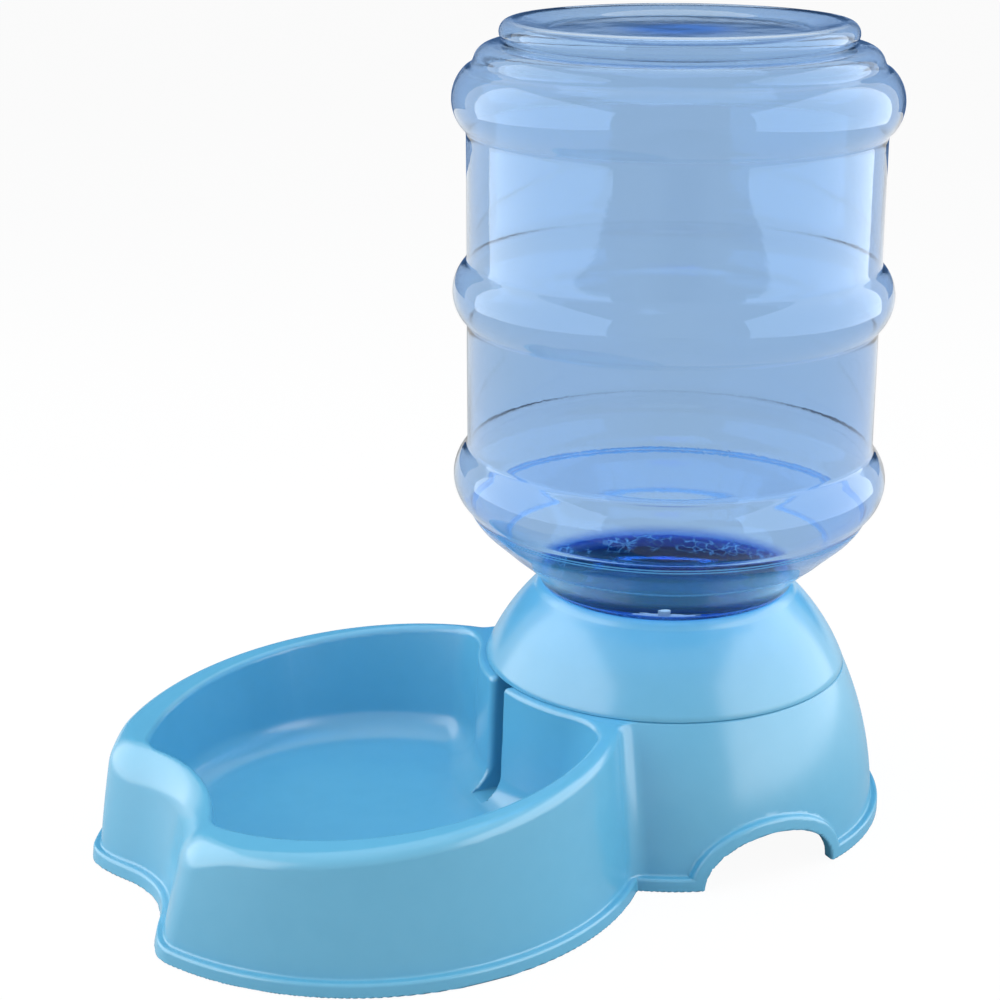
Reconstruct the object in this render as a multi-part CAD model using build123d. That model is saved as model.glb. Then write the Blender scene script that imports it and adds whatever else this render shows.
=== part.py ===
from build123d import *
from math import cos, dist, hypot, pi, sin, sqrt
import os

# Gravity pet waterer. Millimetres, +Z up, standing on z = 0.
# The tower's axis is the working origin and the bowl lies toward -Y. At the end every piece
# moves by the same vector, so that the origin is the middle of the base's footprint.

# Base moulding: the skirts' outside
bowl_distance = 125.8
bowl_foot_r = 100.6
bowl_mid_r = 98.2
bowl_mid_z = 27.0
bowl_top_r = 92.6
bowl_top_z = 66.0
tower_foot_r = 82.8
tower_mid_r = 78.6
tower_mid_z = 34.0
seam_r = 69.4
seam_z = 59.6
rim_front_z = 44.3
rim_front_y = 207.0
rim_back_y = 55.0
rim_round = 5.0
waist_round = 7.0
base_wall = 2.4
foot_lip_out = 2.8
foot_lip_h = 5.2

# Front scoop: a slanting cone that dents the bowl's front wall
scoop_foot_y = 206.4
scoop_foot_r = 43.2
scoop_rim_y = 198.0
scoop_rim_r = 67.2
scoop_rim_z = 45.0
horn_round = 11.0

# Arches in the tower's skirt
arch_half = 27.5
arch_h = 18.9

# Drinking bowl, inside
cavity_back = 2.9
cavity_rim_r = 84.6
cavity_rim_z = 52.0
cavity_floor_r = 79.0
cavity_floor_z = 13.0
cavity_round = 11.0
cavity_lip_round = 1.8
tower_side_r = 72.6
tower_side_draft = 1.6
corner_round = 14.0
scoop_inside_y = 190.5
scoop_inside_draft = 4.0
scoop_inside_r = 74.7
scoop_corner_round = 6.0
scoop_corner_foot_round = 13.0

# Well inside the tower, and the gate that feeds the bowl
well_r = 61.5
well_floor_z = 13.0
gate_w = 10.0

# Collar on the tower
collar_mid_r = 62.6
collar_mid_z = 73.0
collar_band_r = 52.2
collar_band_z = 86.0
collar_top_z = 91.0
collar_bore_r = 46.2
collar_bore_h = 6.0
collar_wall = 2.6
collar_lip_round = 2.2
plug_h = 8.0
plug_wall = 2.0
plug_fit = 0.3
snap_out = 0.7
snap_h = 1.6
snap_drop = 5.0
snap_fit = 0.2

# Bottle
bottle_seat_gap = 0.3
bottle_wall = 1.0
body_r = 76.2
bulge_out = 5.3
bulge_half = 11.5
bulge_zs = (133.5, 204.0, 274.3)
crease_round = 2.0
shoulder_r = 69.8
shoulder_z = 113.0
cone_foot_r = 53.8
cone_foot_z = 99.0
heel_r = 50.6
heel_z = 95.5
seat_r = 48.4
neck_r = 44.9
neck_h = 13.0
top_ring_r = 74.0
top_ring_z = 290.4
top_ring_up = 3.0
top_ring_in = 1.4
groove_r = 61.8
groove_z = 294.0
bead_r = 64.4
bead_z = 297.4
bottle_top_z = 301.8
recess_rim_r = 58.0
recess_r = 47.0
recess_depth = 3.0
recess_swell = 4.0

# Neck finish and its thread
finish_r = 41.0
finish_wall = 2.2
finish_h = 17.0
thread_bead_r = 1.3
thread_out = 0.2
thread_pitch = 6.0
thread_start = 4.0
thread_turns = 1.25
thread_gap = 0.8

# Valve cap
cap_wall = 1.5
cap_plate_h = 2.5
cap_skirt_h = 17.5
cap_rib_r = 0.45
cap_ribs = 60
spigot_r = 14.0
spigot_bore_r = 12.0
spigot_h = 25.0
seat_bore_r = 6.5
seat_h = 2.0

# Gasket between the cap and the neck's lip
gasket_h = 1.5
gasket_gap = 0.2
gasket_in = 2.3
gasket_fit = 0.5

# Valve plunger, its seal and the post that lifts it
valve_travel = 4.0
valve_gap = 0.1
seal_h = 1.6
seal_r = 9.6
head_h = 2.5
head_r = 10.2
hub_r = 4.6
foot_stem_r = 3.2
guide_r = 2.4
guide_fit = 0.1
guide_over = 9.0
stem_over_post = 0.3
fin_w = 1.6
fins = 3
fin_fit = 0.3
fin_up = 1.0
barb_h = 0.8
barb_out = 0.8

# Spring and the cage above it
spring_r = 4.6
spring_wire = 0.9
spring_turns = 7
spring_gap = 0.3
cage_ring_r = 16.5
cage_ring_h = 2.0
cage_leg_w = 3.0
cage_legs = 4
cage_h = 6.5
cage_top_h = 2.0
cage_top_r = 13.0

# Post on the well's floor
post_h = 13.0
post_r = 7.4
post_fin = 2.4
post_disc_h = 2.0
boss_r = 11.0
boss_h = 4.0
boss_fit = 0.2

over = 20.0
far = 700.0
near = 0.01


def circle_at(radius, y, z):
    return Plane((0, y, z)) * Circle(radius)


def ring_solid(outer, inner, low, high):
    tube = Cylinder(outer, high - low, align=(Align.CENTER, Align.CENTER, Align.MIN))
    if inner > 0:
        tube -= Cylinder(inner, high - low, align=(Align.CENTER, Align.CENTER, Align.MIN))
    return Pos(0, 0, low) * tube


def turned(*outline):
    """Solid of revolution about the tower's axis from points and edges in (radius, z)."""
    return revolve(Plane.XZ * make_face(Curve() + list(outline)), Axis.Z)


# Base moulding


def rim_plane_z(y):
    """Height of the bowl's deck, which slopes down from the tower to the front."""
    slope = (seam_z - rim_front_z) / (rim_front_y - rim_back_y)
    return seam_z + slope * (y + rim_back_y)


def above_rim(drop):
    front = (-far, rim_plane_z(-far) - drop)
    back = (far, rim_plane_z(far) - drop)
    side = Polyline(front, back, (far, far), (-far, far), close=True)
    return extrude(Plane.YZ.offset(-far) * make_face(side), 2 * far)


def above_seam(drop):
    return Pos(0, 0, seam_z - drop) * Box(far, far, far, align=(Align.CENTER, Align.CENTER, Align.MIN))


def scoop_at(z, inset):
    """The slanting cone at height z: its nearest point to the tower and its radius."""
    share = z / scoop_rim_z
    nearest = scoop_foot_y + (scoop_rim_y - scoop_foot_y) * share - inset
    radius = scoop_foot_r + (scoop_rim_r - scoop_foot_r) * share + inset
    return nearest, radius


def bowl_outline(z, radius, inset):
    nearest, scoop_r = scoop_at(z, inset)
    outline = circle_at(radius - inset, -bowl_distance, z) - circle_at(scoop_r, -nearest - scoop_r, z)
    horns = outline.vertices().filter_by(lambda v: abs(v.X) > 5 and v.Y < -bowl_distance - 40)
    return fillet(horns, horn_round - inset)


def bowl_radius(z):
    """Parabola through the skirt's foot, middle and top."""
    share = z / bowl_top_z
    middle = bowl_mid_z / bowl_top_z
    lean = bowl_top_r - bowl_foot_r
    bend = (bowl_mid_r - bowl_foot_r - lean * middle) / (middle * (middle - 1))
    return bowl_foot_r + lean * share + bend * share * (share - 1)


def bowl_body(inset, low=0.0):
    levels = [low] + [bowl_top_z * share for share in (0.22, 0.45, 0.7, 1.0)]
    return loft([bowl_outline(z, bowl_radius(z), inset) for z in levels])


def tower_body(inset, low=0.0):
    foot = (tower_foot_r - inset, low)
    middle = (tower_mid_r - inset, tower_mid_z)
    top = (seam_r - inset, seam_z)
    return turned(ThreePointArc(foot, middle, top), Polyline(top, (0, seam_z), (0, low), foot))


def cavity_outline(z, grow):
    """Plan of the drinking bowl at height z, with its walls moved out by grow."""
    share = (z - cavity_floor_z) / (cavity_rim_z - cavity_floor_z)
    radius = cavity_floor_r + (cavity_rim_r - cavity_floor_r) * share + grow
    tower_side = tower_side_r + tower_side_draft * (1 - share) - grow
    front = scoop_inside_y - scoop_inside_draft * (1 - share) + grow
    front_r = scoop_inside_r - grow
    outline = circle_at(radius, cavity_back - bowl_distance, z) - circle_at(tower_side, 0, z)
    outline -= circle_at(front_r, -front - front_r, z)
    back = outline.vertices().filter_by(lambda v: v.Y > -bowl_distance)
    outline = fillet(back, corner_round + grow)
    corners = outline.vertices().filter_by(lambda v: v.Y < -bowl_distance - 50 and abs(v.X) > 5)
    sharp = scoop_corner_round + (scoop_corner_foot_round - scoop_corner_round) * (1 - share)
    return fillet(corners, sharp + grow)


def bowl_cavity(grow):
    low = cavity_floor_z - grow
    space = loft([cavity_outline(z, grow) for z in (low, cavity_rim_z + over)], ruled=True)
    floor = space.faces().sort_by(Axis.Z)[0]
    return fillet(floor.outer_wire().edges(), cavity_round + grow)


def well(grow):
    return ring_solid(well_r + grow, 0, well_floor_z - grow, seam_z + over)


def gate(grow):
    low = cavity_floor_z - grow
    inner = well_r - gate_w
    outer = tower_side_r + cavity_round
    size = (gate_w + 2 * grow, outer - inner, seam_z + over - low)
    block = Box(*size, align=(Align.CENTER, Align.MAX, Align.MIN))
    return Pos(0, -inner, low) * block


def arch_prism(grow):
    """Both side arches: one elliptical prism along X, grown by grow."""
    oval = Plane.YZ * Ellipse(arch_half + grow, arch_h + grow)
    return extrude(oval, far / 2, both=True)


def slab(low, high):
    return Pos(0, 0, low) * Box(far, far, high - low, align=(Align.CENTER, Align.CENTER, Align.MIN))


def outside():
    """The moulding as if it were solid, with its deck edge and its waist rounded."""
    bowl = bowl_body(0) - above_rim(0)
    deck = bowl.faces().sort_by(Axis.Z)[-1]
    bowl = fillet(deck.outer_wire().edges(), rim_round)
    body = bowl - above_seam(0) + tower_body(0)
    tall = body.edges().filter_by(lambda e: e.bounding_box().size.Z > seam_z / 2)
    waist = tall.filter_by(lambda e: abs(e.center().X) > tower_foot_r / 3)
    return fillet(waist, waist_round)


def foot_lip():
    """The lip that stands proud of the skirt along the floor and round the arches."""
    tower = tower_body(-foot_lip_out) - above_seam(foot_lip_out)
    low_band = slab(0, foot_lip_h)
    return (bowl_body(-foot_lip_out) & low_band) + (tower & (low_band + arch_prism(foot_lip_h)))


def cavities(grow):
    return bowl_cavity(grow) + well(grow) + gate(grow)


def hollow():
    """The space under the moulding, open to the floor."""
    space = bowl_body(base_wall, -1.0) - above_rim(base_wall) + tower_body(base_wall, -1.0)
    return space - above_seam(base_wall) - cavities(base_wall)


def arch_cuts():
    """The arches go through the skirt and stop at the well's wall."""
    return arch_prism(0) - ring_solid(well_r + base_wall, 0, 0, seam_z)


def snap_groove():
    height = snap_h + 2 * snap_fit
    low = seam_z - snap_drop - height / 2
    return ring_solid(well_r + snap_out - plug_fit + snap_fit, 0, low, low + height)


def post_boss():
    return ring_solid(boss_r, post_r + boss_fit, well_floor_z, well_floor_z + boss_h)


def make_base():
    cavity = bowl_cavity(0)
    shell = outside() - cavity

    def on_lip(edge):
        """True where the deck meets the drinking bowl's wall."""
        middle = edge.position_at(0.5)
        return abs(middle.Z - rim_plane_z(middle.Y)) < near and cavity.distance_to(middle) < near

    shell = fillet(shell.edges().filter_by(on_lip), cavity_lip_round)
    shell = shell + foot_lip() - well(0) - gate(0) - hollow() - arch_cuts() - snap_groove()
    shell += post_boss()
    # The two halves are one half and its mirror image.
    right = shell & Pos(far / 2, 0, 0) * Box(far, far, far)
    return right + mirror(right, Plane.YZ)


# Collar


def make_collar():
    """Domed cone with a rounded lip, a seat on the tower and a plug that snaps into the well."""
    plug_out = well_r - plug_fit
    plug_in = plug_out - plug_wall
    lip_low = collar_top_z - collar_lip_round
    corner = collar_lip_round * (1 - cos(pi / 4))
    web_z = seam_z + collar_wall
    bore_low = collar_top_z - collar_bore_h
    slant = hypot(seam_r - collar_band_r, collar_band_z - seam_z) / (collar_band_z - seam_z)
    inner_mid = (collar_mid_r - collar_wall * slant, collar_mid_z)
    outer = ThreePointArc((seam_r, seam_z), (collar_mid_r, collar_mid_z), (collar_band_r, collar_band_z))
    band = Line((collar_band_r, collar_band_z), (collar_band_r, lip_low))
    lip_out = ThreePointArc(
        (collar_band_r, lip_low),
        (collar_band_r - corner, collar_top_z - corner),
        (collar_band_r - collar_lip_round, collar_top_z),
    )
    lip_ends = (collar_band_r - collar_lip_round, collar_bore_r + collar_lip_round)
    lip_top = Line((lip_ends[0], collar_top_z), (lip_ends[1], collar_top_z))
    lip_in = ThreePointArc(
        (collar_bore_r + collar_lip_round, collar_top_z),
        (collar_bore_r + corner, collar_top_z - corner),
        (collar_bore_r, lip_low),
    )
    bore = Line((collar_bore_r, lip_low), (collar_bore_r, bore_low))
    dome_foot = (seam_r - 2 * collar_wall, web_z)
    dome = ThreePointArc((collar_bore_r, bore_low), inner_mid, dome_foot)
    plug = [(plug_in, web_z), (plug_in, seam_z - plug_h), (plug_out, seam_z - plug_h), (plug_out, seam_z)]
    rest = Polyline(dome_foot, *plug, (seam_r, seam_z))
    collar = turned(outer, band, lip_out, lip_top, lip_in, bore, dome, rest)
    bead_low = seam_z - snap_drop - snap_h / 2
    collar += ring_solid(plug_out + snap_out, plug_in, bead_low, bead_low + snap_h)
    return collar - (gate(0) & slab(0, seam_z))


# Threads and springs


def biarc(start, start_dir, end, end_dir):
    """Two arcs that join two points and keep the given directions there."""
    span = end - start
    both = start_dir + end_dir
    lean = 2 * (1 - start_dir.dot(end_dir))
    reach = (sqrt(span.dot(both) ** 2 + lean * span.dot(span)) - span.dot(both)) / lean
    middle = (start + end + (start_dir - end_dir) * reach) * 0.5
    middle_dir = (end - end_dir * reach) - (start + start_dir * reach)
    return [TangentArc(start, middle, tangent=start_dir), TangentArc(middle, end, tangent=middle_dir)]


def coil(radius, pitch, turns, low, wire_r):
    """One unbroken round tube on a right-handed helix, in steps of a quarter turn."""

    def point(angle):
        return Vector(radius * cos(angle), radius * sin(angle), low + pitch * angle / (2 * pi))

    def direction(angle):
        return Vector(-radius * sin(angle), radius * cos(angle), pitch / (2 * pi)).normalized()

    steps = round(4 * turns)
    arcs = []
    for step in range(steps):
        a = step * pi / 2
        b = a + pi / 2
        arcs += biarc(point(a), direction(a), point(b), direction(b))
    section = Plane(point(0), z_dir=direction(0)) * Circle(wire_r)
    tube = sweep(section, path=Wire(Curve() + arcs))
    return tube, [point(0), point(steps * pi / 2)]


def bead_thread(radius, low, turns):
    """A knuckle thread's one bead, with round ends."""
    bead, ends = coil(radius, thread_pitch, turns, low, thread_bead_r)
    for end in ends:
        bead += Pos(end) * Sphere(thread_bead_r)
    return bead


# Bottle


def bottle_lip_z():
    return collar_top_z + bottle_seat_gap - neck_h - finish_h


def bottle_profile():
    seat_z = collar_top_z + bottle_seat_gap
    flare = seat_r - neck_r
    corner = flare * cos(pi / 4)
    neck_top = (neck_r, seat_z - flare)
    neck_low = seat_z - neck_h
    lip_z = bottle_lip_z()
    cone = Vector(shoulder_r - cone_foot_r, shoulder_z - cone_foot_z)
    foot = [
        Polyline((0, lip_z), (finish_r, lip_z), (finish_r, neck_low), (neck_r, neck_low), neck_top),
        ThreePointArc(neck_top, (seat_r - corner, neck_top[1] + corner), (seat_r, seat_z)),
        ThreePointArc((seat_r, seat_z), (heel_r, heel_z), (cone_foot_r, cone_foot_z)),
        Line((cone_foot_r, cone_foot_z), (shoulder_r, shoulder_z)),
        TangentArc((shoulder_r, shoulder_z), (body_r, bulge_zs[0] - bulge_half), tangent=cone),
    ]
    side = []
    below = None
    for z in bulge_zs:
        low = (body_r, z - bulge_half)
        high = (body_r, z + bulge_half)
        if below:
            side.append(Line(below, low))
        side.append(ThreePointArc(low, (body_r + bulge_out, z), high))
        below = high
    ring_top = (top_ring_r - top_ring_in, top_ring_z)
    end = [
        ThreePointArc(below, (top_ring_r, top_ring_z - top_ring_up), ring_top),
        Line(ring_top, (groove_r, groove_z)),
        ThreePointArc((groove_r, groove_z), (bead_r, bead_z), (recess_rim_r, bottle_top_z)),
        ThreePointArc(
            (recess_rim_r, bottle_top_z),
            (recess_r + recess_swell, bottle_top_z - recess_depth / 2),
            (recess_r, bottle_top_z - recess_depth),
        ),
        Line((recess_r, bottle_top_z - recess_depth), (0, bottle_top_z - recess_depth)),
    ]
    axis = Line((0, bottle_top_z - recess_depth), (0, lip_z))
    return foot + side + end + [axis]


def make_bottle():
    """Thin blown wall, with a thicker threaded finish, open at the mouth below."""
    lip_z = bottle_lip_z()
    step_z = lip_z + finish_h
    half = make_face(Curve() + bottle_profile())
    creases = half.vertices().filter_by(lambda v: abs(v.X - body_r) < near)
    half = fillet(creases, crease_round)
    skin = offset(half + mirror(half, Plane.YZ), -bottle_wall)
    inner_half = skin & Pos(far / 2, 0) * Rectangle(far, 2 * far)
    mouth_r = finish_r - finish_wall
    space = revolve(Plane.XZ * inner_half, Axis.Z) - ring_solid(neck_r, mouth_r, lip_z, step_z)
    bottle = revolve(Plane.XZ * half, Axis.Z) - space
    bottle -= ring_solid(mouth_r, 0, lip_z, lip_z + 2 * bottle_wall)
    return bottle + bead_thread(finish_r + thread_out, lip_z + thread_start, thread_turns)


# Valve cap and its gasket


def cap_plate_top():
    return bottle_lip_z() - 2 * gasket_gap - gasket_h


def cap_bore_r():
    """Inside radius of the cap's skirt, clear of the bottle's thread."""
    return finish_r + thread_bead_r + thread_gap


def spigot_low():
    return cap_plate_top() - cap_plate_h - spigot_h


def make_valve_cap():
    """Plate, ribbed skirt with an inside thread, and a spigot that ends in the valve's seat."""
    low = cap_plate_top() - cap_plate_h
    top = low + cap_skirt_h
    skirt_r = cap_bore_r() + cap_wall
    plan = Circle(skirt_r) + PolarLocations(skirt_r, cap_ribs) * Circle(cap_rib_r)
    cap = extrude(Plane((0, 0, low)) * plan, cap_skirt_h)
    cap -= ring_solid(cap_bore_r(), 0, cap_plate_top(), top)
    cap += ring_solid(spigot_r, 0, spigot_low(), low)
    cap -= ring_solid(spigot_bore_r, 0, spigot_low() + seat_h, cap_plate_top())
    cap -= ring_solid(seat_bore_r, 0, spigot_low(), spigot_low() + seat_h)
    thread_low = bottle_lip_z() + thread_start + thread_pitch / 2
    return cap + bead_thread(cap_bore_r() - thread_out, thread_low, thread_turns)


def make_cap_gasket():
    outer = cap_bore_r() - thread_out - thread_bead_r - gasket_fit
    inner = finish_r - finish_wall - gasket_in
    low = cap_plate_top() + gasket_gap
    return ring_solid(outer, inner, low, low + gasket_h)


# Valve: plunger, seal, spring and cage, drawn as the post holds it open


def seal_z():
    """Underside of the seal, lifted off its seat by the travel."""
    return spigot_low() + seat_h + valve_gap + valve_travel


def head_z():
    return seal_z() + seal_h


def cage_top_z():
    return cap_plate_top() + cage_ring_h + cage_h


def make_valve_stem():
    foot_z = well_floor_z + post_h + stem_over_post
    stem = ring_solid(foot_stem_r, 0, foot_z, seal_z() - barb_h)
    stem += ring_solid(hub_r + barb_out, 0, seal_z() - barb_h, seal_z())
    stem += ring_solid(hub_r, 0, seal_z(), head_z())
    stem += ring_solid(head_r, 0, head_z(), head_z() + head_h)
    stem += ring_solid(guide_r, 0, head_z() + head_h, cage_top_z() + cage_top_h + guide_over)
    reach = seat_bore_r - fin_fit
    fin_h = seal_z() - barb_h - foot_z - fin_up
    fin = Box(reach, fin_w, fin_h, align=(Align.MIN, Align.CENTER, Align.MIN))
    for number in range(fins):
        stem += Rot(0, 0, number * 360 / fins) * Pos(0, 0, foot_z + fin_up) * fin
    return stem


def make_valve_seal():
    return ring_solid(seal_r, hub_r, seal_z(), head_z())


def make_spring_cage():
    """Ring on the cap's plate, legs and a top with the plunger's guide hole."""
    low = cap_plate_top()
    top = cage_top_z()
    cage = ring_solid(cage_ring_r, spigot_bore_r, low, low + cage_ring_h)
    cage += ring_solid(cage_top_r, 0, top, top + cage_top_h)
    leg_h = top + cage_top_h - low
    leg_in = spigot_bore_r
    leg = Box(cage_ring_r - leg_in, cage_leg_w, leg_h, align=(Align.MIN, Align.CENTER, Align.MIN))
    for number in range(cage_legs):
        cage += Rot(0, 0, number * 360 / cage_legs) * Pos(leg_in, 0, low) * leg
    return cage - ring_solid(guide_r + guide_fit, 0, top, top + cage_top_h)


def make_valve_spring():
    low = head_z() + head_h + spring_gap + spring_wire / 2
    high = cage_top_z() - spring_gap - spring_wire / 2
    spring, ends = coil(spring_r, (high - low) / spring_turns, spring_turns, low, spring_wire / 2)
    return spring


def make_lift_post():
    """Cross-shaped post, pressed into the boss on the well's floor, with a disc on top."""
    post = ring_solid(post_r, 0, well_floor_z + post_h - post_disc_h, well_floor_z + post_h)
    blade = Box(2 * post_r, post_fin, post_h, align=(Align.CENTER, Align.CENTER, Align.MIN))
    cross = blade + Rot(0, 0, 90) * blade
    rod = Cylinder(post_r, post_h, align=(Align.CENTER, Align.CENTER, Align.MIN))
    return post + Pos(0, 0, well_floor_z) * (cross & rod)


def least_gap(radius, pitch, wire_r):
    """Least gap between neighbouring turns, measured on points of the helix."""
    steps = 72
    points = []
    for step in range(3 * steps):
        angle = 2 * pi * step / steps
        points.append((radius * cos(angle), radius * sin(angle), pitch * step / steps))
    first = points[0]
    gaps = [dist(first, other) - 2 * wire_r for other in points[steps // 2 :]]
    return min(gaps)


makers = {
    "base": make_base,
    "collar": make_collar,
    "bottle": make_bottle,
    "valve_cap": make_valve_cap,
    "cap_gasket": make_cap_gasket,
    "valve_stem": make_valve_stem,
    "valve_seal": make_valve_seal,
    "valve_spring": make_valve_spring,
    "spring_cage": make_spring_cage,
    "lift_post": make_lift_post,
}

os.makedirs("parts", exist_ok=True)
pieces = {}
for name, make in makers.items():
    pieces[name] = make()
    print(name, round(pieces[name].volume, 1), pieces[name].is_valid, flush=True)

# The origin is the middle of the base's footprint, on the floor.
footprint = pieces["base"].bounding_box()
shift = Vector(0, -(footprint.min.Y + footprint.max.Y) / 2, 0)
for name, piece in pieces.items():
    export_step(Pos(shift) * piece, f"parts/{name}.step")

print("tower axis at y", round(shift.Y, 3))
print("bowl centre at y", round(shift.Y - bowl_distance, 3))
print("footprint", [round(value, 3) for value in footprint.size])
spring_low = head_z() + head_h + spring_gap
spring_high = cage_top_z() - spring_gap
pitch = (spring_high - spring_low - spring_wire) / spring_turns
print("spring from", spring_low, "to", spring_high, "pitch", round(pitch, 3))
print("least gap between the spring's turns", round(least_gap(spring_r, pitch, spring_wire / 2), 3))
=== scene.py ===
"""Gravity pet waterer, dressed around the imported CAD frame.

A light-blue moulded base with a drinking bowl, a domed collar and a clear bottle that stands
upside down in it, with its cap and valve. Sizes in the classes are millimetres measured from
the tower's axis; the meshes are written in metres in the frame of the CAD model.
"""

import logging
from dataclasses import dataclass
from enum import Enum
from typing import Any, Callable, Iterable, Sequence

import bpy
import numpy as np
from mathutils import Matrix, Vector


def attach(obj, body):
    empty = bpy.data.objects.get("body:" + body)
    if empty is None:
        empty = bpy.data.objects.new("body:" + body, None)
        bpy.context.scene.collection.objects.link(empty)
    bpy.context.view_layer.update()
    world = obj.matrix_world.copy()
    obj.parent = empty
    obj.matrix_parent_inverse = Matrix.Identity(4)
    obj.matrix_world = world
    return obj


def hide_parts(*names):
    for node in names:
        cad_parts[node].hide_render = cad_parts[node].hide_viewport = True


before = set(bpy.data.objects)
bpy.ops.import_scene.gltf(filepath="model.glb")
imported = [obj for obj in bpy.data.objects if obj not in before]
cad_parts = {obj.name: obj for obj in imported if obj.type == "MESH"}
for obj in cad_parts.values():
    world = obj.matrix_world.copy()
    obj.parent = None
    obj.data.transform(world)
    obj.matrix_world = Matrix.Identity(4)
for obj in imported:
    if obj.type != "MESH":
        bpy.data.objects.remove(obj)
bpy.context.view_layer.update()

log = logging.getLogger("waterer")

Array = np.ndarray

MM = 0.001
TOWER_Y = 68.23
TAU = 2 * np.pi
WHITE = (1.0, 1.0, 1.0, 1.0)


class Body(Enum):
    """The CAD bodies that pieces ride on."""

    BASE = "base"
    BOTTLE = "bottle"


class Slot(Enum):
    """Material slots of the record."""

    BLUE_PLASTIC = "blue_plastic"
    CLEAR_BOTTLE = "clear_bottle"
    CAP_PLASTIC = "cap_plastic"
    WHITE_PLASTIC = "white_plastic"
    SEAL_RUBBER = "seal_rubber"
    SPRING_STEEL = "spring_steel"


# Shader graphs


class Value:
    """One socket of a shader graph, on which Python's operators add Math nodes."""

    def __init__(self, graph: "Graph", socket: Any) -> None:
        """Wraps a socket of the graph."""
        self.graph = graph
        self.socket = socket

    def _math(self, operation: str, *terms: Any) -> "Value":
        """Adds one Math node and returns its result."""
        return self.graph.node("ShaderNodeMath", {"operation": operation}, dict(enumerate(terms)))

    def __add__(self, other: Any) -> "Value":
        """Sum."""
        return self._math("ADD", self, other)

    def __sub__(self, other: Any) -> "Value":
        """Difference."""
        return self._math("SUBTRACT", self, other)

    def __rsub__(self, other: Any) -> "Value":
        """Difference from a number on the left."""
        return self._math("SUBTRACT", other, self)

    def __mul__(self, other: Any) -> "Value":
        """Product."""
        return self._math("MULTIPLY", self, other)

    def __truediv__(self, other: Any) -> "Value":
        """Quotient."""
        return self._math("DIVIDE", self, other)

    def __pow__(self, other: Any) -> "Value":
        """Power."""
        return self._math("POWER", self, other)

    def root(self) -> "Value":
        """Square root."""
        return self._math("SQRT", self)

    def larger(self, other: Any) -> "Value":
        """The larger of two values."""
        return self._math("MAXIMUM", self, other)

    def step(self, low: float, high: float) -> "Value":
        """Smooth rise from 0 at low to 1 at high; high below low gives a fall.

        Args:
            low: where the result is 0.
            high: where the result is 1.

        Returns:
            The smoothed share.
        """
        rises = high > low
        inputs = {
            "Value": self,
            "From Min": min(low, high),
            "From Max": max(low, high),
            "To Min": 0.0 if rises else 1.0,
            "To Max": 1.0 if rises else 0.0,
        }
        return self.graph.node("ShaderNodeMapRange", {"interpolation_type": "SMOOTHSTEP"}, inputs)

    def span(self, low: float, high: float) -> "Value":
        """Spreads a 0 to 1 value over low to high.

        Args:
            low: the result at 0.
            high: the result at 1.

        Returns:
            The spread value.
        """
        return self * (high - low) + low


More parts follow.
